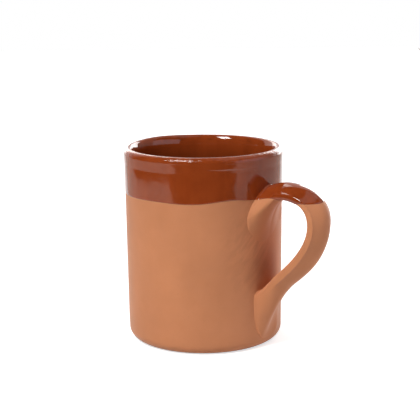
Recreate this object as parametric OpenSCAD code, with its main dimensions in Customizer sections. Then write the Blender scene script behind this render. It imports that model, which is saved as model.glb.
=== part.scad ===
// Straight-sided clay mug: a thrown body, a pulled strap handle luted on with slip,
// a poured liner glaze and a dip glaze on the rim and on the top of the handle.
// Millimetres. The origin is the middle of the underside, +Z is up, the handle points along +X.

/* [Body] */
// Height of the mug over its glazed lip
mug_h = 100; // [80:1:130]
// Outer diameter of the clay wall at the rim
rim_d = 81; // [70:0.2:100]
// Outer diameter of the clay wall at the base
base_d = 79.8; // [70:0.2:100]
// Thickness of the clay wall
wall_t = 4.4; // [3.4:0.1:6]
// Thickness of the clay floor
floor_t = 6; // [4:0.5:10]
// Radius of the rounded edge round the base
base_edge_r = 5; // [2:0.5:7]
// Radius of the rounded corner between the floor and the inner wall
floor_corner_r = 9; // [4:0.5:16]

/* [Rim] */
// Height over which the lip rounds off on the outside
lip_out_h = 2.8; // [2:0.1:6]
// Height over which the lip rounds off on the inside
lip_in_h = 5.8; // [2:0.1:7]
// Height of the thrown collar, which leans out under the rounding of the lip
collar_h = 3.2; // [1.6:0.1:5]
// How far the collar leans out of the wall
collar_out = 0.2; // [0.1:0.05:0.5]

/* [Handle] */
// Width of the strap
strap_w = 18; // [14:0.2:22]
// Thickness of the strap along its middle
strap_t = 8.4; // [6:0.2:10]
// Thickness of the strap along its two edges
strap_edge_t = 2; // [1.6:0.1:3.6]
// How far the strap's inner face swells between its edges
strap_belly = 1.2; // [0.4:0.1:2]
// Distance from the rim's outside to the strap's edges at their furthest
handle_reach = 27.6; // [24:0.2:36]
// Drop from the lip to the strap's edges where it leaves the upper root
upper_drop = 20.8; // [18:0.2:25]
// Drop from the lip to the strap's edges at their furthest
bulge_drop = 33; // [30:0.2:40]
// Height of the strap's edges where it runs into the lower root
lower_rise = 37; // [33:0.2:42]
// Slope at which the strap climbs out of the upper root, in degrees
upper_slope = 12; // [0:1:20]
// Slope at which the strap comes down to the lower root, in degrees
lower_slope = 44; // [38:1:52]

/* [Roots] */
// Distance from the wall to the strap's first and last full section
root_len = 8.6; // [7:0.2:12]
// Height of the pressed edge of a root over the wall
root_edge = 0.8; // [0.7:0.05:1.6]
// Width of the upper root on the wall
upper_root_w = 30; // [22:0.2:36]
// Drop from the lip to the widest place of the upper root
upper_root_drop = 32; // [28:0.5:38]
// Height of the upper root over its widest place
upper_root_up = 15.4; // [10:0.2:18]
// Depth of the upper root under its widest place
upper_root_down = 15; // [6:0.2:17]
// Width of the lower root on the wall
lower_root_w = 22.2; // [18:0.2:30]
// Height of the widest place of the lower root
lower_root_rise = 25; // [22:0.5:32]
// Height of the lower root over its widest place
lower_root_up = 7.4; // [4:0.2:12]
// Depth of the thumbed tail of the lower root under its widest place
lower_root_down = 18.4; // [8:0.2:19]

/* [Slip and glaze] */
// Thickness of the slip that lutes the roots to the wall
slip_t = 0.35; // [0.2:0.05:0.6]
// Thickness of the glaze
glaze_t = 0.2; // [0.15:0.05:0.5]
// Drop from the lip to the edge of the dip glaze
dip_drop = 22.8; // [18:0.2:28]
// Height of the swell in the edge of the dip glaze
dip_swell_h = 1.8; // [0:0.1:3]
// Direction of that swell from the handle, in degrees
dip_swell_at = -32; // [-180:1:180]
// Spread of that swell, in degrees
dip_swell_span = 17; // [8:1:40]

/* [Hidden] */

clay_colour = [0.78, 0.52, 0.36];
slip_colour = [0.70, 0.45, 0.30];
glaze_colour = [0.52, 0.20, 0.08];

// Steps in a quarter of a rounded edge, round the strap, along each half of the strap, along a root,
// and round the wavy edge of the dip glaze
edge_steps = 10;
strap_sides = 24;
strap_steps = 11;
root_steps = 6;
dip_steps = 90;

// How far a cut runs past what it cuts
overrun = 2;
// How deep a root's closed end lies under the wall
root_depth = 3;

clay_h = mug_h - glaze_t;
rim_r = rim_d / 2;
base_r = base_d / 2;
lip_half = wall_t / 2;
lip_r = rim_r - lip_half;
collar_z = clay_h - lip_out_h;
inner_base_r = wall_r(floor_t) - wall_t;
dip_z = mug_h - dip_drop;
upper_root_z = mug_h - upper_root_drop;
// Level half way between the two roots, and how far a level cut reaches from the axis
split_z = (upper_root_z - upper_root_down + lower_root_rise + lower_root_up) / 2;
cut_r = rim_r + handle_reach + strap_t;

// How far the strap's outer face swells between its edges
strap_dome = strap_t - strap_edge_t - strap_belly;
// Pull at both ends of the strap's two curves, as shares of the height that each curve spans
upper_pull_shares = [0.44, 1.03];
lower_pull_shares = [0.42, 0.26];
// How straight the strap's edges run down to a root's outline: 0 bends them over as its faces do, 1 is straight
root_fullness = 0.55;
// Exponents of the roots' outlines, under the strap's outer face and under its inner face
upper_root_powers = [1.6, 2];
lower_root_powers = [2, 2.6];

// Radius of the clay wall at a height
function wall_r(z) = base_r + (rim_r - base_r) * z / clay_h;

// Points along an elliptical arc round a centre
function arc(centre, rx, rz, from, to) = [
    for (i = [0 : edge_steps])
        let (a = from + (to - from) * i / edge_steps)
        centre + [rx * cos(a), rz * sin(a)]
];

function reversed(list) = [for (i = [len(list) - 1 : -1 : 0]) list[i]];

// Outside of the wall from the base edge up to the lip's crest, grown by a coat
function base_edge(coat) =
    arc([wall_r(base_edge_r) - base_edge_r, base_edge_r], base_edge_r + coat, base_edge_r + coat, -90, 0);
function collar_foot(coat) = [[wall_r(collar_z - collar_h) + coat, collar_z - collar_h]];
function outer_lip(coat) =
    arc([lip_r, collar_z], lip_half + collar_out + coat, lip_out_h + coat, 0, 90);

// Inside of the wall from the lip's crest down to the middle of the floor, grown inwards by a coat
function inner_lip(coat) =
    arc([lip_r, clay_h - lip_in_h], lip_half + coat, lip_in_h + coat, 90, 180);
function inner_wall(coat) = concat(
    [[rim_r - wall_t - coat, clay_h - lip_in_h]],
    arc(
        [inner_base_r - floor_corner_r, floor_t + floor_corner_r],
        floor_corner_r - coat, floor_corner_r - coat, 0, -90
    ),
    [[0, floor_t + coat]]
);

function outside(coat) = concat(base_edge(coat), collar_foot(coat), outer_lip(coat));

// The whole outside of the mug as one filled solid, grown by a coat
module filled(coat) {
    rotate_extrude()
        polygon(concat(outside(coat), [[0, clay_h + coat], [0, -coat]]));
}

// A point on a cubic curve with four control points, and its direction
function cubic(p, t) =
    pow(1 - t, 3) * p[0] + 3 * t * pow(1 - t, 2) * p[1] + 3 * t * t * (1 - t) * p[2] + pow(t, 3) * p[3];
function cubic_way(p, t) =
    pow(1 - t, 2) * (p[1] - p[0]) + 2 * t * (1 - t) * (p[2] - p[1]) + t * t * (p[3] - p[2]);

// Line of the strap's edges in the plane of the handle, as two curves that meet at its furthest place
upper_z = mug_h - upper_drop;
bulge_z = mug_h - bulge_drop;
strap_start = [wall_r(upper_z) + root_len, upper_z];
strap_bulge = [rim_r + handle_reach, bulge_z];
strap_end = [wall_r(lower_rise) + root_len, lower_rise];
upper_span = upper_z - bulge_z;
lower_span = bulge_z - lower_rise;
upper_curve = [
    strap_start,
    strap_start + upper_span * upper_pull_shares[0] * [cos(upper_slope), sin(upper_slope)],
    strap_bulge + upper_span * upper_pull_shares[1] * [0, 1],
    strap_bulge
];
lower_curve = [
    strap_bulge,
    strap_bulge - lower_span * lower_pull_shares[0] * [0, 1],
    strap_end + lower_span * lower_pull_shares[1] * [cos(lower_slope), sin(lower_slope)],
    strap_end
];

// One section of the strap: [distance from the axis, sideways, height] round the line of its edges.
// It starts at the +Y edge and goes over the domed outer face, grown by a coat
function round_off(c, power) = sign(c) * pow(abs(c), 2 / power);
function section(curve, t, coat) =
    let (
        p = cubic(curve, t),
        way = cubic_way(curve, t) / norm(cubic_way(curve, t)),
        out = [-way[1], way[0]]
    ) [
        for (i = [0 : strap_sides - 1])
            let (
                a = 360 * i / strap_sides,
                swell = (sin(a) > 0 ? strap_dome : -strap_belly) * pow(sin(a), 2),
                rise = round_off(sin(a), 4) * (strap_edge_t / 2 + coat) + swell,
                side = cos(a) * (strap_w / 2 + coat)
            )
            [p[0] + out[0] * rise, side, p[1] + out[1] * rise]
    ];

// Distance from the axis to the wall at a sideways place and a height
function wall_at(side, z) = sqrt(pow(wall_r(z), 2) - side * side);

// One ring of a root: on the strap's two faces each point runs on along the strap's own slope and bends over
// along the wall to the root's outline, and on its two edges it runs down more nearly straight.
// Places are [height over the wall, sideways, height over the base]
function root_ring(ring, way, outline, u, coat) = [
    for (i = [0 : strap_sides - 1])
        let (
            edge = root_edge + coat,
            from = [ring[i][0] - wall_at(ring[i][1], ring[i][2]), ring[i][1], ring[i][2]],
            to = [edge, outline[i][0], outline[i][1]],
            bend = [edge, from[1], from[2] + way * (from[0] - edge)],
            straight = root_fullness * pow(cos(360 * i / strap_sides), 2),
            pull = bend + straight * ((from + to) / 2 - bend),
            q = pow(1 - u, 2) * from + 2 * u * (1 - u) * pull + u * u * to
        )
        [wall_at(q[1], q[2]) + q[0], q[1], q[2]]
];

// Outline of a root on the wall: an oval whose two halves differ, grown by a coat.
// The first half lies under the strap's outer face, on the side of the given way up or down
function root_outline(width, z, way, outer, inner, powers, coat) = [
    for (i = [0 : strap_sides - 1])
        let (
            a = 360 * i / strap_sides,
            reach = (sin(a) > 0 ? outer : inner) + coat,
            power = sin(a) > 0 ? powers[0] : powers[1]
        )
        [(width / 2 + coat) * round_off(cos(a), power), z + way * reach * round_off(sin(a), power)]
];
function sunk_ring(outline) = [
    for (o = outline) [wall_at(o[0], o[1]) - root_depth, o[0], o[1]]
];

// Rings of the handle from the upper root to the strap's furthest place, and from there to the lower root
function upper_rings(coat) =
    let (
        first = section(upper_curve, 0, coat),
        outline = root_outline(
            upper_root_w, upper_root_z, 1, upper_root_up, upper_root_down, upper_root_powers, coat
        )
    )
    concat(
        [sunk_ring(outline)],
        [
            for (j = [root_steps : -1 : 1])
                root_ring(first, -tan(upper_slope), outline, j / root_steps, coat)
        ],
        [for (j = [0 : strap_steps]) section(upper_curve, j / strap_steps, coat)]
    );
function lower_rings(coat) =
    let (
        last = section(lower_curve, 1, coat),
        outline = root_outline(
            lower_root_w, lower_root_rise, -1, lower_root_down, lower_root_up, lower_root_powers, coat
        )
    )
    concat(
        [for (j = [1 : strap_steps]) section(lower_curve, j / strap_steps, coat)],
        [
            for (j = [1 : root_steps])
                root_ring(last, -tan(lower_slope), outline, j / root_steps, coat)
        ],
        [sunk_ring(outline)]
    );

// Sides between each ring and the next one of a row
function ring_sides(n, rows, points) = [
    for (j = [0 : rows - 1], i = [0 : n - 1])
        let (
            a = j * n + i,
            b = j * n + (i + 1) % n,
            c = (a + n) % points,
            d = (b + n) % points
        )
        each [[a, c, b], [b, c, d]]
];

// A closed skin over a row of rings, with its two ends filled
module capped_skin(rings) {
    n = len(rings[0]);
    points = [for (r = rings) each r];
    last = len(points) - n;
    start = [for (i = [1 : n - 2]) [0, i, i + 1]];
    end = [for (i = [1 : n - 2]) [last, last + i + 1, last + i]];
    polyhedron(points, concat(ring_sides(n, len(rings) - 1, len(points)), start, end));
}

// A closed skin over a row of rings whose last ring joins its first
module looped_skin(rings) {
    n = len(rings[0]);
    points = [for (r = rings) each r];
    polyhedron(points, ring_sides(n, len(rings), len(points)));
}

// The handle with both roots run on into the wall
module whole_handle(coat) {
    capped_skin(concat(upper_rings(coat), lower_rings(coat)));
}

// Everything over or under a level, out past the handle
module over(z) {
    translate([-cut_r, -cut_r, z]) cube([2 * cut_r, 2 * cut_r, mug_h]);
}
module under(z) {
    translate([0, 0, -mug_h]) over(z);
}

// Height of the dip glaze's edge in a direction from the handle
function dip_edge(a) =
    let (turn = (a - dip_swell_at + 540) % 360 - 180)
    dip_z + dip_swell_h * exp(-pow(turn / dip_swell_span, 2));

// Everything on the wall under the wavy edge of the dip glaze
module under_dip() {
    near = rim_r - wall_t;
    far = rim_r + wall_t;
    low = dip_z - wall_t;
    looped_skin([
        for (i = [0 : dip_steps - 1])
            let (a = 360 * i / dip_steps, way = [cos(a), sin(a)], z = dip_edge(a))
            [
                concat(near * way, z),
                concat(far * way, z),
                concat(far * way, low),
                concat(near * way, low)
            ]
    ]);
}

// Thrown clay: wall and floor in one
module body() {
    color(clay_colour)
        rotate_extrude()
            polygon(concat(outside(0), inner_lip(0), inner_wall(0), [[0, 0]]));
}

// Pulled clay strap with its two pressed roots, cut to the wall
module handle() {
    color(clay_colour)
        difference() {
            whole_handle(0);
            filled(slip_t);
        }
}

// Slip that fills the joint between the wall and both roots
module slip() {
    intersection() {
        whole_handle(0);
        difference() {
            filled(slip_t);
            filled(0);
        }
    }
}

// Slip under the upper root
module upper_slip() {
    color(slip_colour)
        difference() {
            slip();
            under(split_z);
        }
}

// Slip under the lower root
module lower_slip() {
    color(slip_colour)
        difference() {
            slip();
            over(split_z);
        }
}

// Poured glaze inside the mug, up to the inside of the lip
module liner_glaze() {
    color(glaze_colour)
        rotate_extrude()
            polygon(concat(inner_wall(0), reversed(inner_wall(glaze_t))));
}

// Dip glaze over the lip and down the outside, clear of the handle
module rim_glaze() {
    low = dip_z - overrun;
    color(glaze_colour)
        difference() {
            rotate_extrude()
                polygon(concat(
                    [[wall_r(low), low], [wall_r(low) + glaze_t, low]],
                    collar_foot(glaze_t), outer_lip(glaze_t), inner_lip(glaze_t),
                    reversed(inner_lip(0)), reversed(outer_lip(0)), reversed(collar_foot(0))
                ));
            under_dip();
            whole_handle(0);
        }
}

// Dip glaze on the top of the handle
module handle_glaze() {
    color(glaze_colour)
        difference() {
            looped_skin(concat(upper_rings(glaze_t), reversed(upper_rings(0))));
            filled(glaze_t);
            under(dip_z);
        }
}

body();
handle();
upper_slip();
lower_slip();
liner_glaze();
rim_glaze();
handle_glaze();
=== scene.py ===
from math import cos, pi, radians, sin, tan

import bmesh
import bpy
import numpy as np
from mathutils import Matrix, Quaternion, Vector


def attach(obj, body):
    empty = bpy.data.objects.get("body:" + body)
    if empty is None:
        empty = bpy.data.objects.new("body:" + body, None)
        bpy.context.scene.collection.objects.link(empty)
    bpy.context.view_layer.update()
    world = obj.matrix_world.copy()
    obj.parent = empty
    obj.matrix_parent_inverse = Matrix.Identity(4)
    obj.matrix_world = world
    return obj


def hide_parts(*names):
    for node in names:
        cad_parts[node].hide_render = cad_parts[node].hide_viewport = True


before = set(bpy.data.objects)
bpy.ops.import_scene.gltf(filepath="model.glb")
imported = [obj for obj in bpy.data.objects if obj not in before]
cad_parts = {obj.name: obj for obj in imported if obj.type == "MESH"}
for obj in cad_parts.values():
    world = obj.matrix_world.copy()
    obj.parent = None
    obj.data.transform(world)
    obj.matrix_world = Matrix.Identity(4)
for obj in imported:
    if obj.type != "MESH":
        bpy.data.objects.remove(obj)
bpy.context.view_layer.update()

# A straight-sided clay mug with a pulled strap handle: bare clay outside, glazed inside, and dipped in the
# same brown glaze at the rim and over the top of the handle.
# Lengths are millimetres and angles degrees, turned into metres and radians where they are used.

MM = 0.001

# Body
MUG_H = 100.0
RIM_R = 40.5
BASE_R = 39.9
WALL_T = 4.4
FLOOR_T = 6.0
BASE_EDGE_R = 5.0
FLOOR_CORNER_R = 9.0
LIP_OUT_H = 2.8
LIP_IN_H = 5.8
COLLAR_H = 5.0
COLLAR_OUT = 0.2
# A fine ledge under the lip. Values that end in AT are directions round the mug, turned from the handle:
# here the one in which the ledge is strongest, and the one towards which it rises
LEDGE_Z = 93.8
LEDGE_H = 0.6
LEDGE_OUT = 0.05
LEDGE_AT = -22.0
LEDGE_RISE = 0.9
LEDGE_RISE_AT = -120.0

# What the wheel and the hand left uneven: the wall is out of round, with throwing rings that drift round it
WIDEST_AT = -144.0
OVAL_OUT = 0.15
LOBES_OUT = 0.1
RING_OUT = 0.004
RING_STEP = 17.0
RING_DRIFT = 1.5
FINE_RING_OUT = 0.0008
FINE_RING_STEP = 4.3
FINE_RING_DRIFT = 2.0
# Height over the base in which the unevenness grows to its full size
UNEVEN_H = 12.0
# A dent over the handle's upper root
DENT_IN = 0.35
DENT_AT = -8.0
DENT_SPREAD = 28.0
DENT_Z = 81.0
DENT_H = 9.0
# A lift of the rim on one side, which sets in over the edge of the dip glaze
RIM_LIFT = 0.6
RIM_LIFT_AT = 166.0
RIM_LIFT_SPREAD = 26.0
RIM_LIFT_OVER_DIP = 4.0

# Glaze
GLAZE_T = 0.2
DIP_Z = 77.2
# The dip glaze's edge on the wall lies a little lower, with one broad swell and two runs of small waves
DIP_WALL_DROP = 0.1
DIP_SWELL = 1.7
DIP_SWELL_AT = -34.0
DIP_SWELL_SPREAD = 19.0
DIP_WAVE = 0.25
DIP_FINE_WAVE = 0.12
# Its edge on the handle arches over the hole, rises between two distances from the mug's axis, and wavers
DIP_ARCH = 1.7
DIP_ARCH_X = 47.0
DIP_ARCH_SPREAD = 6.0
DIP_END_RISE = 0.7
DIP_END_X = (56.0, 66.0)
DIP_WAVER = 0.2
DIP_WAVER_W = 3.0
# How far a hidden face of the glaze lies inside the clay, and how far over its edge the glaze rounds off
GLAZE_BITE = 0.05
GLAZE_BEAD_H = 0.25

# Handle: a strap with a swelling inner face and a higher dome on its outer face
STRAP_W = 18.0
STRAP_BELLY = 1.2
DOME_POWER = 3.0
# Rise of the strap's outer face over its edges, at places evenly along the strap from its upper end
DOMES = (4.4, 3.7, 3.6, 4.8, 4.1)
# The edge face of the strap, outwards and inwards from the line that the strap follows, at its two ends
EDGE_OUTS = (1.9, 2.4)
EDGE_INS = (0.7, 1.2)
EDGE_SHARE = 0.2
SOFT_EDGE_SHARE = 0.7
# The line of the strap: its reach from the rim, the heights of its ends and of its furthest point, how its
# ends slope, and how far each half of the line is pulled along its two ends
HANDLE_REACH = 27.9
UPPER_Z = 79.2
BULGE_Z = 67.0
LOWER_Z = 37.6
UPPER_SLOPE = 12.0
LOWER_SLOPE = 44.0
UPPER_PULLS = (0.44, 1.09)
LOWER_PULLS = (0.42, 0.26)
# A root from the strap's end to the wall. Its pressed edge stands proud of the wall, is smeared out along
# it, and ends a little inside the clay
ROOT_LEN = 8.6
ROOT_EDGE = 0.9
ROOT_SMEAR = 0.7
ROOT_SUNK = 0.35
ROOT_TUCK = 0.1
ROOT_DEPTH = 3.0
# A root's outline on the wall has two halves, as high as outer and inner say, and the higher their powers,
# the squarer they are. Way is 1 where the half under the strap's outer face is the upper one.
# Fullness is that of the near and the far side. Hollow is a depth, and where across the root it sets in.
# Fade is where up the root the crisp edge sets in. Both places count from -1 to 1
UPPER_ROOT = {"width": 30.0, "z": 68.0, "way": 1, "outer": 15.4, "inner": 17.0, "powers": (1.6, 2.0),
              "fullness": (0.88, 0.0), "hollow": (0.65, -2.0), "fade": (-0.7, 0.1)}
LOWER_ROOT = {"width": 22.2, "z": 25.0, "way": -1, "outer": 20.6, "inner": 5.6, "powers": (2.7, 4.5),
              "fullness": (1.0, 0.0), "hollow": (0.85, -0.6), "fade": (-1.1, -0.8)}
HOLLOW_FADE = 0.9

# Slip pads under the roots
SLIP_T = 0.35
SLIP_MARGIN = 4.0

# Mesh steps
TURNS = 192
EDGE_STEPS = 14
WALL_STEP = 1.0
GLAZE_STEP = 0.25
STRAP_SIDES = 88
STRAP_STEPS = 56
ROOT_STEPS = 20
SMEAR_STEPS = 6
BEAD_STEPS = 6
# Angle between faces from which an edge is shown sharp
CREASE = 50.0

# Colours, as shares of red, green and blue light thrown back
CLAY_DARK = (0.54, 0.206, 0.086)
CLAY_PALE = (0.61, 0.236, 0.100)
CLAY_SPECK = (0.42, 0.17, 0.08)
SLIP_DARK = (0.46, 0.18, 0.08)
SLIP_PALE = (0.54, 0.22, 0.10)
GLAZE_DARK = (0.245, 0.040, 0.0075)
GLAZE_PALE = (0.29, 0.050, 0.010)
GLAZE_SPECK = (0.12, 0.016, 0.004)
# Painted shade on the wall under the handle, standing in for the handle's shadow there, and slanting
# strokes of smeared clay round it
HANDLE_SHADE_TINT = (0.72, 0.69, 0.68)
HANDLE_SHADE_SIDE = -4.0
HANDLE_SHADE_Z = LOWER_Z + 4.0
HANDLE_SHADE_REACHES = (20.0, 15.0, 15.0)
STROKES_SIDE = -12.0
STROKES_Z = LOWER_Z + 14.0
STROKES_REACHES = (22.0, 20.0, 30.0)
STROKE_TILT = -40.0
# Heights between which the painted contact shadow, a dark line at the foot, fades
FOOT_SHADE_HEIGHTS = (0.1, 1.1)
# How far down from the rim painted shade darkens the liner glaze inside the mug
LINER_SHADE_DEPTH = 18.0
# Height and width in which the glaze's look on the lip sets in
LIP_FADE_H = 0.6
LIP_FADE_R = 0.8

CLAY_H = MUG_H - GLAZE_T
LIP_HALF = WALL_T / 2
LIP_R = RIM_R - LIP_HALF
COLLAR_Z = CLAY_H - LIP_OUT_H

# Camera and studio: places are right of the mug's axis, away from the camera, and up
VIEW_TURN = 36.0
CAMERA_PLACE = (0.0, -587.338, 192.515)
CAMERA_AIM = (3.061, 0.0, 65.958)
CAMERA_ROLL = -0.646
CAMERA_LENS = 98.837
SENSOR_W = 36.0

# The floor narrows towards the camera. Its wings end in round edges, given by their reach from the mug's
# axis and their turns from the camera
FLOOR_Z = -0.05
FLOOR_FRONT = -297.0
FLOOR_BACK = 2000.0
FLOOR_FRONT_HALF = 190.0
FLOOR_BACK_HALF = 480.0
FLOOR_COLOUR = (0.68, 0.68, 0.68)
FLOOR_GLOW = 0.66
LEFT_WING = {"reach": 468.0, "start": -105.0, "end": -50.5, "colour": (0.85, 0.79, 0.72)}
RIGHT_WING = {"reach": 900.0, "start": 45.3, "end": 150.0, "colour": (0.78, 0.73, 0.67)}
# Black cloth between two turns from the camera
CLOTH_COLOUR = (0.02, 0.02, 0.02)
CLOTH_REACH = 1600.0
CLOTH_LOW = -600.0
CLOTH_HIGH = 1900.0
CLOTH_START = -125.0
CLOTH_END = 137.0
CLOTH_TURNS = 27
# Lamps: watts for each square metre of a lamp that looks plain white, and tints
WHITE_POWER = 4.0
BACKLIGHT_REACH = 1500.0
PINK_TINT = (1.0, 0.93, 1.07)
WARM_TINT = (1.0, 0.88, 0.82)
CREAM_TINT = (1.0, 0.93, 0.88)


def from_camera(right, away, up):
    turned = Matrix.Rotation(radians(VIEW_TURN), 3, "Z") @ Vector((right, away, up))
    return turned * MM


# Shapes of the body


# Radius of the wall's outside at a height
def wall_r(z):
    return BASE_R + (RIM_R - BASE_R) * z / CLAY_H


# A smooth step from 0 to 1
def ease(x):
    x = np.clip(x, 0, 1)
    return x * x * (3 - 2 * x)


# How far round a turn lies from a direction in degrees, the shorter way
def turn_from(turn, at):
    return (turn - radians(at) + pi) % (2 * pi) - pi


# 1 in one direction, and falling off to both sides of it
def facing(turn, at, spread):
    return np.exp(-(turn_from(turn, at) / radians(spread)) ** 2)


def unevenness(turn, z):
    from_widest = turn - radians(WIDEST_AT)
    oval = OVAL_OUT * np.cos(2 * from_widest) + LOBES_OUT * np.cos(3 * from_widest)
    rings = RING_OUT * np.sin(2 * pi * z / RING_STEP + RING_DRIFT * np.sin(turn))
    fine_drift = FINE_RING_DRIFT * np.sin(turn + 1)
    fine_rings = FINE_RING_OUT * np.sin(2 * pi * z / FINE_RING_STEP + fine_drift)
    dent = DENT_IN * facing(turn, DENT_AT, DENT_SPREAD) * np.exp(-((z - DENT_Z) / DENT_H) ** 2)
    return (oval + rings + fine_rings) * ease(z / UNEVEN_H) - dent


def rim_lift(turn, z):
    start = DIP_Z + RIM_LIFT_OVER_DIP
    return RIM_LIFT * facing(turn, RIM_LIFT_AT, RIM_LIFT_SPREAD) * ease((z - start) / (CLAY_H - start))


# Profiles of the mug are rows of radius and height. A coat is how far one lies over the clay
def arc(centre, radius_r, radius_z, start, end):
    a = np.radians(np.linspace(start, end, EDGE_STEPS + 1))
    return np.stack([centre[0] + radius_r * np.cos(a), centre[1] + radius_z * np.sin(a)], axis=1)


# Outside of the wall under the lip: a collar leans out over a small ledge that the potter's finger left
def outside_r(z, turn):
    ledge_z = LEDGE_Z + LEDGE_RISE * np.cos(turn - radians(LEDGE_RISE_AT))
    ledge = ease((z - ledge_z) / LEDGE_H + 0.5)
    lean = np.clip((z - COLLAR_Z) / COLLAR_H + 1, 0, 1)
    strength = LEDGE_OUT * (0.5 + 0.5 * np.cos(2 * (turn - radians(LEDGE_AT)))) ** 3
    return wall_r(z) + strength * ledge + (COLLAR_OUT - strength) * lean


def outer_lip(coat):
    return arc((LIP_R, COLLAR_Z), LIP_HALF + COLLAR_OUT + coat, LIP_OUT_H + coat, 0, 90)


def inner_lip(coat):
    return arc((LIP_R, CLAY_H - LIP_IN_H), LIP_HALF + coat, LIP_IN_H + coat, 90, 180)


def base_edge():
    centre = (wall_r(BASE_EDGE_R) - BASE_EDGE_R, BASE_EDGE_R)
    return arc(centre, BASE_EDGE_R, BASE_EDGE_R, -90, 0)


def inner_wall(coat):
    corner_r = wall_r(FLOOR_T) - WALL_T - FLOOR_CORNER_R
    top = CLAY_H - LIP_IN_H
    corner_z = FLOOR_T + FLOOR_CORNER_R
    z = np.linspace(top, corner_z, int((top - corner_z) / WALL_STEP))[:-1]
    r = np.interp(z, [corner_z, top], [corner_r + FLOOR_CORNER_R, RIM_R - WALL_T]) - coat
    corner = arc((corner_r, corner_z), FLOOR_CORNER_R - coat, FLOOR_CORNER_R - coat, 0, -90)
    floor_rows = [[corner_r * share, FLOOR_T + coat] for share in (0.75, 0.5, 0.25, 0.125)]
    return np.concatenate([np.stack([r, z], axis=1), corner, floor_rows])


# Meshes from rows of points

TURN = np.linspace(0, 2 * pi, TURNS, endpoint=False)


def turned_points(r, z):
    r, z, turn = np.broadcast_arrays(r, z, TURN)
    r = r + unevenness(turn, z) * r / RIM_R
    z = z + rim_lift(turn, z)
    return np.stack([r * np.cos(turn), r * np.sin(turn), z], axis=-1)


def turned_profile(profile):
    return turned_points(profile[:, :1], profile[:, 1:])


def row_faces(rows, columns, looped):
    faces = []
    for j in range(rows if looped else rows - 1):
        for i in range(columns):
            a = j * columns + i
            b = j * columns + (i + 1) % columns
            up = ((j + 1) % rows - j) * columns
            faces.append((a, b, b + up, a + up))
    return faces


# A closed skin over rows of points: looped from the last row to the first, or capped at both ends
def skin(lattice, looped):
    rows, columns = lattice.shape[:2]
    points = lattice.reshape(-1, 3)
    faces = row_faces(rows, columns, looped)
    if not looped:
        ends = np.stack([lattice[0].mean(axis=0), lattice[-1].mean(axis=0)])
        first = len(points)
        points = np.concatenate([points, ends])
        for i in range(columns):
            after = (i + 1) % columns
            last_row = (rows - 1) * columns
            faces.append((first, after, i))
            faces.append((first + 1, last_row + i, last_row + after))
    return points, faces


def new_object(name, mesh, material):
    mesh.materials.append(material)
    made = bpy.data.objects.new(name, mesh)
    bpy.context.scene.collection.objects.link(made)
    return made


def mesh_piece(name, points, faces, material):
    bm = bmesh.new()
    verts = [bm.verts.new(Vector(p) * MM) for p in points]
    for face in faces:
        bm.faces.new([verts[i] for i in face])
    bmesh.ops.recalc_face_normals(bm, faces=bm.faces)
    mesh = bpy.data.meshes.new(name)
    bm.to_mesh(mesh)
    bm.free()
    mesh.shade_smooth()
    mesh.set_sharp_from_angle(angle=radians(CREASE))
    return new_object(name, mesh, material)


def part_of_mug(piece, slot, *nodes):
    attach(piece, "root")
    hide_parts(*nodes)


# Body and its glazes


def make_body(material):
    underside = np.array([[BASE_R * share, 0.0] for share in (0.1, 0.3, 0.5, 0.7)])
    wall_z = np.linspace(BASE_EDGE_R, COLLAR_Z, int((COLLAR_Z - BASE_EDGE_R) / WALL_STEP))[1:-1, None]
    rest = np.concatenate([outer_lip(0), inner_lip(0)[1:], inner_wall(0)[1:]])
    lattice = np.concatenate([
        turned_profile(np.concatenate([underside, base_edge()])),
        turned_points(outside_r(wall_z, TURN), wall_z),
        turned_profile(rest),
    ])
    points, faces = skin(lattice, looped=False)
    piece = mesh_piece("clay_body", points, faces, material)
    part_of_mug(piece, "clay", "body")


def make_liner_glaze(material):
    shown = inner_wall(GLAZE_T)
    hidden = inner_wall(-GLAZE_BITE)
    points, faces = skin(turned_profile(np.concatenate([shown[::-1], hidden])), looped=False)
    piece = mesh_piece("liner_glaze_coat", points, faces, material)
    part_of_mug(piece, "glaze", "liner_glaze")


# Height of the dip glaze's edge round the wall
def dip_edge(turn):
    swell = DIP_SWELL * facing(turn, DIP_SWELL_AT, DIP_SWELL_SPREAD)
    waves = DIP_WAVE * np.sin(3 * turn + 0.4) + DIP_FINE_WAVE * np.sin(7 * turn)
    return DIP_Z - DIP_WALL_DROP + swell + waves


# Thickness of the glaze at a height over its edge: a rounded edge, then an even coat
def coat_over_edge(height):
    rise = np.clip(height / GLAZE_BEAD_H, 0, 1)
    bead = np.sqrt(1 - (1 - rise) ** 2)
    return GLAZE_T * bead


def make_rim_glaze(material):
    edge = dip_edge(TURN)
    over_edge = GLAZE_BEAD_H * (1 - np.cos(np.linspace(0, pi / 2, BEAD_STEPS + 1)))
    bead_z = edge + over_edge[:, None]
    share = np.linspace(0, 1, int((COLLAR_Z - DIP_Z) / GLAZE_STEP))[1:-1]
    wall_z = bead_z[-1] + (COLLAR_Z - bead_z[-1]) * share[:, None]
    z = np.concatenate([bead_z, wall_z])
    shown = turned_points(outside_r(z, TURN) + coat_over_edge(z - edge), z)
    hidden = turned_points(outside_r(z, TURN) - GLAZE_BITE, z)
    lip = np.concatenate([outer_lip(GLAZE_T), inner_lip(GLAZE_T)[1:]])
    under_lip = np.concatenate([outer_lip(-GLAZE_BITE), inner_lip(-GLAZE_BITE)[1:]])
    lattice = np.concatenate([
        shown,
        turned_profile(lip),
        turned_profile(under_lip)[::-1],
        hidden[::-1],
    ])
    points, faces = skin(lattice, looped=True)
    piece = mesh_piece("rim_glaze_coat", points, faces, material)
    part_of_mug(piece, "glaze", "rim_glaze")


# Handle


# How far from the axis the wall lies at a place sideways and a height, measured along the handle
def wall_at(side, z):
    return np.sqrt(wall_r(z) ** 2 - side ** 2)


# A place on a cubic curve, and the direction of the curve there
def cubic(p, t):
    return (1 - t) ** 3 * p[0] + 3 * t * (1 - t) ** 2 * p[1] + 3 * t * t * (1 - t) * p[2] + t ** 3 * p[3]


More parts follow.
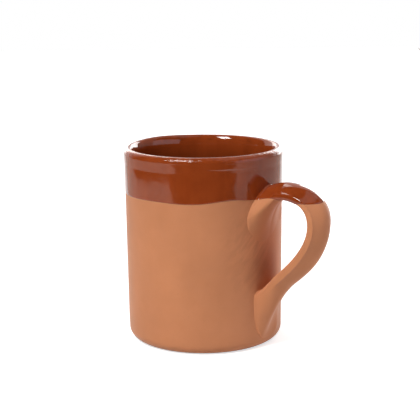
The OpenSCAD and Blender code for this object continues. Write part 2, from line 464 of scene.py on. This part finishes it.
def cubic_way(p, t):
    way = (1 - t) ** 2 * (p[1] - p[0]) + 2 * t * (1 - t) * (p[2] - p[1]) + t * t * (p[3] - p[2])
    return way / np.linalg.norm(way)


def slope_way(slope):
    return np.array([cos(radians(slope)), sin(radians(slope))])


# Line of the strap's edges, as two curves that meet where it stands out furthest
def strap_curves():
    start = np.array([wall_r(UPPER_Z) + ROOT_LEN, UPPER_Z])
    bulge = np.array([RIM_R + HANDLE_REACH, BULGE_Z])
    end = np.array([wall_r(LOWER_Z) + ROOT_LEN, LOWER_Z])
    up = np.array([0.0, 1.0])
    upper_span = UPPER_Z - BULGE_Z
    lower_span = BULGE_Z - LOWER_Z
    upper = [
        start,
        start + upper_span * UPPER_PULLS[0] * slope_way(UPPER_SLOPE),
        bulge + upper_span * UPPER_PULLS[1] * up,
        bulge,
    ]
    lower = [
        bulge,
        bulge - lower_span * LOWER_PULLS[0] * up,
        end + lower_span * LOWER_PULLS[1] * slope_way(LOWER_SLOPE),
        end,
    ]
    return upper, lower


SIDE = np.linspace(0, 2 * pi, STRAP_SIDES, endpoint=False)


def round_off(c, power):
    return np.sign(c) * np.abs(c) ** (2 / power)


# A value that changes along the strap, eased between the ones given for places evenly along it
def eased_along(values, along):
    place_along = along * (len(values) - 1)
    step = min(int(place_along), len(values) - 2)
    return values[step] + (values[step + 1] - values[step]) * ease(place_along - step)


# A flat strap with a domed outer face and a slighter swell on its inner face. Its edge is a narrow face,
# bounded by two ridges that are sharp where the share of the section that the face takes is small
def strap_section(curve, t, along, edge_share=EDGE_SHARE):
    p = cubic(curve, t)
    way = cubic_way(curve, t)
    is_outer = np.sin(SIDE) > 0
    height = np.abs(np.sin(SIDE))
    edge = np.where(is_outer, eased_along(EDGE_OUTS, along), -eased_along(EDGE_INS, along))
    dome = np.where(is_outer, eased_along(DOMES, along), -STRAP_BELLY)
    rise = edge * ease(height / edge_share) + dome * height ** DOME_POWER
    side = np.cos(SIDE) * STRAP_W / 2
    return np.stack([p[0] - way[1] * rise, side, p[1] + way[0] * rise], axis=1)


# Outline of a root on the wall: one half lies under the strap's outer face, the other under its inner face
def root_outline(root, grown):
    is_outer = np.sin(SIDE) > 0
    reach = np.where(is_outer, root["outer"], root["inner"]) + grown
    power = np.where(is_outer, *root["powers"])
    side = (root["width"] / 2 + grown) * round_off(np.cos(SIDE), power)
    return side, root["z"] + root["way"] * reach * round_off(np.sin(SIDE), power)


# A root is crisp towards the top of the mug, and thumbed away into the wall at its lower end
def root_crispness(root):
    upward = root["way"] * np.sin(SIDE)
    start, end = root["fade"]
    return ease((upward - start) / (end - start))


# How straight a root's surface runs from the strap to the wall. The side towards the camera is the fuller
# one, and the middle of the lower end is hollow
def root_straightness(root):
    near, far = root["fullness"]
    towards_camera = ease(0.55 - 0.75 * np.cos(SIDE))
    fullness = far + (near - far) * towards_camera
    is_upper = root["way"] * np.sin(SIDE) > 0
    depth, start = root["hollow"]
    hollow = depth * (1 - np.abs(np.cos(SIDE))) * ease((np.cos(SIDE) - start) / HOLLOW_FADE)
    return fullness * np.where(is_upper, 1, 1 - hollow)


# Rings of a root from the strap's section to the wall, at the strap's start, where t is 0, or at its end,
# where t is 1. Their points are worked out as height over the wall, sideways, and height over the base.
# The strap's two faces bend over along the wall to the root's outline, its two edges run down more nearly
# straight, and the strap's ridges die away. The pressed edge is then smeared out into the wall
def root_rings(curve, t, slope, root):
    section = strap_section(curve, t, t, SOFT_EDGE_SHARE)
    ridge = strap_section(curve, t, t) - section
    start = section.copy()
    start[:, 0] -= wall_at(section[:, 1], section[:, 2])
    edge = (ROOT_EDGE + ROOT_SUNK) * root_crispness(root) - ROOT_SUNK
    end = np.stack([edge, *root_outline(root, 0)], axis=1)
    bend = start.copy()
    bend[:, 0] = edge
    bend[:, 2] -= tan(radians(slope)) * (start[:, 0] - edge)
    pull = bend + root_straightness(root)[:, None] * ((start + end) / 2 - bend)
    rings = []
    for u in np.linspace(0, 1, ROOT_STEPS + 1)[1:]:
        rings.append((1 - u) ** 2 * start + 2 * u * (1 - u) * pull + u * u * end + (1 - u) ** 4 * ridge)
    for u in np.linspace(0, 1, SMEAR_STEPS + 1)[1:]:
        height = (edge + ROOT_SUNK) * (1 - ease(u)) - ROOT_SUNK - ROOT_TUCK * u
        rings.append(np.stack([height, *root_outline(root, ROOT_SMEAR * u)], axis=1))
    sunk = rings[-1].copy()
    sunk[:, 0] = -ROOT_DEPTH
    rings.append(sunk)
    for ring in rings:
        ring[:, 0] += wall_at(ring[:, 1], ring[:, 2])
    return rings


def handle_lattice():
    upper, lower = strap_curves()
    steps = np.linspace(0, 1, STRAP_STEPS + 1)
    rings = root_rings(upper, 0, UPPER_SLOPE, UPPER_ROOT)[::-1]
    rings += [strap_section(upper, t, t / 2) for t in steps]
    rings += [strap_section(lower, t, (1 + t) / 2) for t in steps[1:]]
    rings += root_rings(lower, 1, LOWER_SLOPE, LOWER_ROOT)
    return np.stack(rings)


def make_handle(lattice, material):
    points, faces = skin(lattice, looped=False)
    piece = mesh_piece("clay_handle", points, faces, material)
    part_of_mug(piece, "clay", "handle")


# The slip that lutes a root to the wall, which shows nowhere: it ends short of the root's edge
def make_slip(root, node, material):
    side, z = root_outline(root, -SLIP_MARGIN)
    heights = (-ROOT_SUNK, SLIP_T - ROOT_SUNK)
    rings = [np.stack([wall_at(side, z) + height, side, z], axis=1) for height in heights]
    points, faces = skin(np.stack(rings), looped=False)
    piece = mesh_piece(node + "_pad", points, faces, material)
    part_of_mug(piece, "slip", node)


# Directions out of a lattice of rings
def lattice_normals(lattice):
    along = np.gradient(lattice, axis=0)
    round_it = np.roll(lattice, -1, axis=1) - np.roll(lattice, 1, axis=1)
    out = np.cross(round_it, along)
    return out / np.linalg.norm(out, axis=2, keepdims=True)


# Height of the dip glaze's edge on the handle
def handle_dip(x, y):
    arch = DIP_ARCH * np.exp(-((x - DIP_ARCH_X) / DIP_ARCH_SPREAD) ** 2)
    start, end = DIP_END_X
    rise = DIP_END_RISE * ease((x - start) / (end - start))
    return DIP_Z + arch + rise + DIP_WAVER * np.sin(y / DIP_WAVER_W)


# The upper half of the handle, cut along the dip line. Its heights are over that line, and each point keeps
# its direction out of the clay
def dipped_half(lattice):
    rows = ROOT_STEPS + SMEAR_STEPS + 1 + STRAP_STEPS + 1
    points = lattice[:rows].reshape(-1, 3)
    normals = lattice_normals(lattice)[:rows].reshape(-1, 3)
    bm = bmesh.new()
    out = bm.verts.layers.float_vector.new("out")
    for (x, y, z), normal in zip(points, normals):
        vert = bm.verts.new((x, y, z - handle_dip(x, y)))
        vert[out] = normal
    bm.verts.ensure_lookup_table()
    for face in row_faces(rows, STRAP_SIDES, looped=False):
        bm.faces.new([bm.verts[i] for i in face])
    everything = bm.verts[:] + bm.edges[:] + bm.faces[:]
    bmesh.ops.bisect_plane(bm, geom=everything, plane_co=(0, 0, 0), plane_no=(0, 0, 1), clear_inner=True)
    bm.verts.index_update()
    return bm, out


# Faces that show, the same faces turned over for the hidden side, and a strip that joins them at the border
def coat_faces(bm):
    count = len(bm.verts)
    faces = []
    for face in bm.faces:
        corners = [v.index for v in face.verts]
        faces.append(corners)
        faces.append([i + count for i in reversed(corners)])
    for edge in bm.edges:
        if edge.is_boundary:
            a, b = [v.index for v in edge.verts]
            faces.append((a, b, b + count, a + count))
    return faces


def make_handle_glaze(lattice, material):
    bm, out = dipped_half(lattice)
    shown = []
    hidden = []
    for vert in bm.verts:
        x, y, height = vert.co
        base = Vector((x, y, height + handle_dip(x, y)))
        way = vert[out].normalized()
        shown.append(base + way * float(coat_over_edge(height)))
        hidden.append(base - way * GLAZE_BITE)
    faces = coat_faces(bm)
    bm.free()
    piece = mesh_piece("handle_glaze_coat", shown + hidden, faces, material)
    part_of_mug(piece, "glaze", "handle_glaze")


# Materials


def new_material(name):
    material = bpy.data.materials.new(name)
    material.use_nodes = True
    tree = material.node_tree
    return material, tree, tree.nodes["Principled BSDF"]


def own_place(tree):
    return tree.nodes.new("ShaderNodeTexCoord").outputs["Object"]


# Noise with a grain of about the given size in millimetres. It is squeezed along the three axes,
# and leant over in the plane of the wall by the handle
def noise(tree, grain, detail=3.0, squeeze=(1, 1, 1), tilt=0):
    mapping = tree.nodes.new("ShaderNodeMapping")
    mapping.vector_type = "TEXTURE"
    mapping.inputs["Rotation"].default_value = (radians(tilt), 0, 0)
    mapping.inputs["Scale"].default_value = [1 / k for k in squeeze]
    tree.links.new(own_place(tree), mapping.inputs["Vector"])
    node = tree.nodes.new("ShaderNodeTexNoise")
    node.inputs["Scale"].default_value = 1 / (grain * MM)
    node.inputs["Detail"].default_value = detail
    node.inputs["Roughness"].default_value = 0.55
    tree.links.new(mapping.outputs["Vector"], node.inputs["Vector"])
    return node.outputs["Fac"]


def grey(level):
    return (level, level, level)


# Colours for a value, between two stops that each have a place and a colour
def ramp(tree, value, first, last):
    node = tree.nodes.new("ShaderNodeValToRGB")
    for element, (position, colour) in zip(node.color_ramp.elements, (first, last)):
        element.position = position
        element.color = (*colour, 1)
    tree.links.new(value, node.inputs["Fac"])
    return node.outputs["Color"]


# The same in greys, where a stop has a place and a level
def levels(tree, value, first, last):
    return ramp(tree, value, (first[0], grey(first[1])), (last[0], grey(last[1])))


# A mix of two colours. The node has sockets for each type of value, and the numbers pick those for colours
def mixed(tree, share, first, second, blend="MIX"):
    node = tree.nodes.new("ShaderNodeMix")
    node.data_type = "RGBA"
    node.blend_type = blend
    for socket, value in ((node.inputs[0], share), (node.inputs[6], first), (node.inputs[7], second)):
        if isinstance(value, bpy.types.NodeSocket):
            tree.links.new(value, socket)
        elif isinstance(value, tuple):
            socket.default_value = (*value, 1)
        else:
            socket.default_value = value
    return node.outputs[2]


def tinted(tree, colour, tint):
    return mixed(tree, 1.0, colour, tint, "MULTIPLY")


def bump(tree, height, strength, depth, before=None):
    node = tree.nodes.new("ShaderNodeBump")
    node.inputs["Strength"].default_value = strength
    node.inputs["Distance"].default_value = depth * MM
    tree.links.new(height, node.inputs["Height"])
    if before is not None:
        tree.links.new(before, node.inputs["Normal"])
    return node.outputs["Normal"]


# A value brought from one range to another, and kept within it
def rescaled(tree, value, before, after):
    node = tree.nodes.new("ShaderNodeMapRange")
    node.inputs["From Min"].default_value = before[0]
    node.inputs["From Max"].default_value = before[1]
    node.inputs["To Min"].default_value = after[0]
    node.inputs["To Max"].default_value = after[1]
    tree.links.new(value, node.inputs["Value"])
    return node.outputs["Result"]


# Share of the way from one length to another
def share_between(tree, value, low, high):
    return rescaled(tree, value, (low * MM, high * MM), (0, 1))


def vector_step(tree, operation, vector, other=(0, 0, 0)):
    node = tree.nodes.new("ShaderNodeVectorMath")
    node.operation = operation
    tree.links.new(vector, node.inputs[0])
    node.inputs[1].default_value = other
    return node.outputs["Value" if operation == "LENGTH" else "Vector"]


def height_over_base(tree):
    split = tree.nodes.new("ShaderNodeSeparateXYZ")
    tree.links.new(own_place(tree), split.inputs[0])
    return split.outputs["Z"]


def distance_from_axis(tree):
    across = vector_step(tree, "MULTIPLY", own_place(tree), (1, 1, 0))
    return vector_step(tree, "LENGTH", across)


# Closeness to a point: 1 there, and 0 on the ellipsoid round it that has the given reaches
def closeness(tree, centre, reaches):
    apart = vector_step(tree, "SUBTRACT", own_place(tree), Vector(centre) * MM)
    shares = vector_step(tree, "DIVIDE", apart, Vector(reaches) * MM)
    return rescaled(tree, vector_step(tree, "LENGTH", shares), (0, 1), (1, 0))


# The wall under the handle is darkened with painted shade that stands in for the handle's shadow on it, and
# slanting strokes of smeared clay lighten and darken it round the handle
def painted_handle_shade(tree, colour):
    # Painted shade: the clay darkens towards a point on the wall under the handle, where its shadow falls
    shade_share = closeness(tree, (wall_r(LOWER_Z), HANDLE_SHADE_SIDE, HANDLE_SHADE_Z), HANDLE_SHADE_REACHES)
    colour = tinted(tree, colour, ramp(tree, shade_share, (0, grey(1)), (0.8, HANDLE_SHADE_TINT)))
    slanting = noise(tree, grain=2.5, squeeze=(1, 1, 0.15), tilt=STROKE_TILT)
    stroked = tinted(tree, colour, levels(tree, slanting, (0.4, 0.9), (0.62, 1.09)))
    strokes = closeness(tree, (wall_r(BULGE_Z), STROKES_SIDE, STROKES_Z), STROKES_REACHES)
    return mixed(tree, strokes, colour, stroked)


# Bare clay, streaked along the way that it was drawn, with painted contact shadow as a thin dark line at
# the mug's foot
def clay_material(name, streaks, handle_shade):
    material, tree, shader = new_material(name)
    blotches = ramp(tree, noise(tree, grain=26), (0.3, CLAY_DARK), (0.7, CLAY_PALE))
    smears = noise(tree, grain=14, detail=4, squeeze=streaks)
    colour = tinted(tree, blotches, levels(tree, smears, (0.35, 0.985), (0.65, 1.015)))
    specks = levels(tree, noise(tree, grain=0.9, detail=2), (0.64, 0.0), (0.76, 0.22))
    colour = mixed(tree, specks, colour, CLAY_SPECK)
    # Painted contact shadow: the clay darkens towards the very foot of the mug
    over_foot_shade = share_between(tree, height_over_base(tree), *FOOT_SHADE_HEIGHTS)
    colour = tinted(tree, colour, levels(tree, over_foot_shade, (0, 0.15), (1, 1)))
    # Painted shade under the handle, on the body only
    if handle_shade:
        colour = painted_handle_shade(tree, colour)
    tree.links.new(colour, shader.inputs["Base Color"])
    rough = levels(tree, noise(tree, grain=8), (0.3, 0.74), (0.7, 0.88))
    tree.links.new(rough, shader.inputs["Roughness"])
    sandy = bump(tree, noise(tree, grain=0.5, detail=4), strength=0.35, depth=0.05)
    lines = noise(tree, grain=9, detail=2, squeeze=streaks)
    relief = bump(tree, lines, strength=0.3, depth=0.015, before=sandy)
    tree.links.new(relief, shader.inputs["Normal"])
    shader.inputs["Specular IOR Level"].default_value = 0.5
    shader.inputs["Sheen Weight"].default_value = 0.25
    shader.inputs["Sheen Roughness"].default_value = 0.4
    return material


def slip_material():
    material, tree, shader = new_material("slip")
    colour = ramp(tree, noise(tree, grain=3), (0.3, SLIP_DARK), (0.7, SLIP_PALE))
    tree.links.new(colour, shader.inputs["Base Color"])
    relief = bump(tree, noise(tree, grain=0.6), strength=0.4, depth=0.05)
    tree.links.new(relief, shader.inputs["Normal"])
    shader.inputs["Roughness"].default_value = 0.85
    return material


def share_on_lip(tree):
    return share_between(tree, height_over_base(tree), COLLAR_Z, COLLAR_Z + LIP_FADE_H)


# Red-brown glaze, mottled on the lip. Where it has a depth, painted shade darkens it down to that far under
# the rim
def glaze_colour(tree, depth):
    clouds = ramp(tree, noise(tree, grain=12), (0.3, GLAZE_DARK), (0.7, GLAZE_PALE))
    if depth:
        # Painted shade inside the mug: the glaze darkens further down from the rim
        up = share_between(tree, height_over_base(tree), CLAY_H - depth, CLAY_H - LIP_IN_H)
        clouds = tinted(tree, clouds, levels(tree, up, (0, 0.4), (1, 1)))
    runs = noise(tree, grain=5, squeeze=(1, 1, 0.12))
    colour = tinted(tree, clouds, levels(tree, runs, (0.35, 0.94), (0.65, 1.06)))
    specks = levels(tree, noise(tree, grain=0.7, detail=2), (0.66, 0.0), (0.76, 0.35))
    colour = mixed(tree, specks, colour, GLAZE_SPECK)
    burns = levels(tree, noise(tree, grain=4), (0.5, 1.0), (0.7, 0.75))
    return mixed(tree, share_on_lip(tree), colour, tinted(tree, colour, burns))


# The glaze swells and ripples a little, and is uneven on the outer side of the lip
def glaze_relief(tree):
    swells = bump(tree, noise(tree, grain=9, detail=1), strength=0.5, depth=0.09)
    ripples = bump(tree, noise(tree, grain=3.5, detail=2), strength=0.25, depth=0.02, before=swells)
    outside = share_between(tree, distance_from_axis(tree), LIP_R, LIP_R + LIP_FADE_R)
    on_outer_lip = mixed(tree, share_on_lip(tree), grey(0), outside)
    crest = mixed(tree, on_outer_lip, grey(0.5), noise(tree, grain=1.4, detail=2))
    return bump(tree, crest, strength=1.0, depth=0.3, before=ripples)


def glaze_material(name, depth):
    material, tree, shader = new_material(name)
    tree.links.new(glaze_colour(tree, depth), shader.inputs["Base Color"])
    rough = levels(tree, noise(tree, grain=6), (0.3, 0.045), (0.7, 0.085))
    tree.links.new(rough, shader.inputs["Roughness"])
    tree.links.new(glaze_relief(tree), shader.inputs["Normal"])
    shader.inputs["IOR"].default_value = 1.5
    return material


# Studio


# A place by its turn round the mug from the camera, its distance from the axis, and its height
def round_the_mug(turn, distance, height):
    return (distance * sin(radians(turn)), -distance * cos(radians(turn)), height)


# 1 for what the camera sees, by itself, in a reflection or through a clear thing, and 0 for bounced light
def shown_share(tree):
    path = tree.nodes.new("ShaderNodeLightPath")
    total = path.outputs["Is Camera Ray"]
    for kind in ("Is Glossy Ray", "Is Transmission Ray"):
        larger = tree.nodes.new("ShaderNodeMath")
        larger.operation = "MAXIMUM"
        tree.links.new(total, larger.inputs[0])
        tree.links.new(path.outputs[kind], larger.inputs[1])
        total = larger.outputs[0]
    return total


def make_matte(shader, colour):
    shader.inputs["Base Color"].default_value = (*colour, 1)
    shader.inputs["Roughness"].default_value = 1.0
    shader.inputs["Specular IOR Level"].default_value = 0.0


def stage_mesh(name, corners, faces, material):
    mesh = bpy.data.meshes.new(name)
    mesh.from_pydata(corners, [], faces)
    return new_object(name, mesh, material)


def pale_sheet(name, outline, colour, glow):
    material, tree, shader = new_material(name)
    make_matte(shader, colour)
    shader.inputs["Emission Color"].default_value = (1, 1, 1, 1)
    shine = rescaled(tree, shown_share(tree), (0, 1), (0, glow))
    tree.links.new(shine, shader.inputs["Emission Strength"])
    corners = [from_camera(right, away, FLOOR_Z) for right, away in outline]
    sheet = stage_mesh(name, corners, [tuple(range(len(corners)))], material)


# The round edge of a wing of the floor
def wing_edge(wing, count):
    turns = np.linspace(wing["start"], wing["end"], count)
    return [round_the_mug(turn, wing["reach"], 0)[:2] for turn in turns]


# The floor that the camera sees is shown as white, and it keeps the mug's shadow.
# Two rounded wings beside it only light the mug from below and show in its glaze
def make_floor():
    front_left = (-FLOOR_FRONT_HALF, FLOOR_FRONT)
    front_right = (FLOOR_FRONT_HALF, FLOOR_FRONT)
    back_left = (-FLOOR_BACK_HALF, FLOOR_BACK)
    back_right = (FLOOR_BACK_HALF, FLOOR_BACK)
    pale_sheet("floor", [front_left, front_right, back_right, back_left], FLOOR_COLOUR, FLOOR_GLOW)
    left = wing_edge(LEFT_WING, 12) + [front_left, back_left]
    pale_sheet("left_wing", left, LEFT_WING["colour"], 0.0)
    front_end = (-FLOOR_FRONT * tan(radians(RIGHT_WING["start"])), FLOOR_FRONT)
    right = [front_right, front_end] + wing_edge(RIGHT_WING, 22) + [back_right]
    pale_sheet("right_wing", right, RIGHT_WING["colour"], 0.0)


# Black cloth round the camera's side of the set, which only reflections and bounced light see
def make_dark_side():
    material, _, shader = new_material("black_cloth")
    make_matte(shader, CLOTH_COLOUR)
    turns = np.linspace(CLOTH_START, CLOTH_END, CLOTH_TURNS)
    corners = []
    for turn in turns:
        for height in (CLOTH_LOW, CLOTH_HIGH):
            corners.append(from_camera(*round_the_mug(turn, CLOTH_REACH, height)))
    faces = [(2 * k, 2 * k + 2, 2 * k + 3, 2 * k + 1) for k in range(len(turns) - 1)]
    faces.append(tuple(range(1, len(corners), 2)))
    faces.append(tuple(range(0, len(corners), 2)))
    cloth = stage_mesh("black_cloth", corners, faces, material)
    cloth.visible_camera = False


def make_world():
    world = bpy.data.worlds.new("white_room")
    bpy.context.scene.world = world
    world.use_nodes = True
    background = world.node_tree.nodes["Background"]
    background.inputs["Color"].default_value = (1, 1, 1, 1)
    background.inputs["Strength"].default_value = 1.0


# A soft light of an even brightness, where 1 looks plain white. Its place is a turn round the mug from
# the camera, a distance from the mug's axis and a height, and it faces a height on that axis
def make_lamp(name, place, aim, size, brightness, colour=(1, 1, 1)):
    light = bpy.data.lights.new(name, "AREA")
    light.color = colour
    light.shape = "RECTANGLE"
    light.size = size[0] * MM
    light.size_y = size[1] * MM
    light.energy = brightness * WHITE_POWER * light.size * light.size_y
    lamp = bpy.data.objects.new(name, light)
    lamp.location = from_camera(*round_the_mug(*place))
    way = from_camera(0, 0, aim) - lamp.location
    lamp.rotation_euler = way.to_track_quat("-Z", "Y").to_euler()
    lamp.visible_camera = False
    bpy.context.scene.collection.objects.link(lamp)


def make_lamps():
    make_lamp("key", place=(-41, 620, 700), aim=60, size=(240, 320), brightness=23.8)
    make_lamp("right_panel", place=(69, 450, 190), aim=190, size=(440, 300), brightness=0.88,
              colour=PINK_TINT)
    make_lamp("back_panel", place=(116, 450, 350), aim=350, size=(340, 620), brightness=0.35,
              colour=WARM_TINT)
    make_lamp("ceiling", place=(75, 296, 694), aim=60, size=(700, 375), brightness=0.5)
    make_lamp("left_backlight", place=(-163, BACKLIGHT_REACH, 1170), aim=1170, size=(500, 2860),
              brightness=2.4, colour=CREAM_TINT)
    make_lamp("right_backlight", place=(152, BACKLIGHT_REACH, 350), aim=350, size=(840, 1220),
              brightness=4.2)


def make_camera():
    data = bpy.data.cameras.new("camera")
    data.lens = CAMERA_LENS
    data.sensor_width = SENSOR_W
    camera = bpy.data.objects.new("camera", data)
    camera.location = from_camera(*CAMERA_PLACE)
    way = from_camera(*CAMERA_AIM) - camera.location
    level = way.to_track_quat("-Z", "Y")
    roll = Quaternion((0, 0, 1), radians(CAMERA_ROLL))
    camera.rotation_mode = "QUATERNION"
    camera.rotation_quaternion = level @ roll
    bpy.context.scene.collection.objects.link(camera)
    bpy.context.scene.camera = camera


def main():
    bpy.context.scene.view_settings.view_transform = "Standard"
    make_camera()
    make_world()
    make_floor()
    make_dark_side()
    make_lamps()
    glaze = glaze_material("dip_glaze", depth=0)
    liner = glaze_material("liner_glaze", depth=LINER_SHADE_DEPTH)
    make_body(clay_material("clay", streaks=(1, 1, 0.4), handle_shade=True))
    make_liner_glaze(liner)
    make_rim_glaze(glaze)
    lattice = handle_lattice()
    make_handle(lattice, clay_material("handle_clay", streaks=(1, 2, 1), handle_shade=False))
    make_handle_glaze(lattice, glaze)
    slip = slip_material()
    make_slip(UPPER_ROOT, "upper_slip", slip)
    make_slip(LOWER_ROOT, "lower_slip", slip)


main()
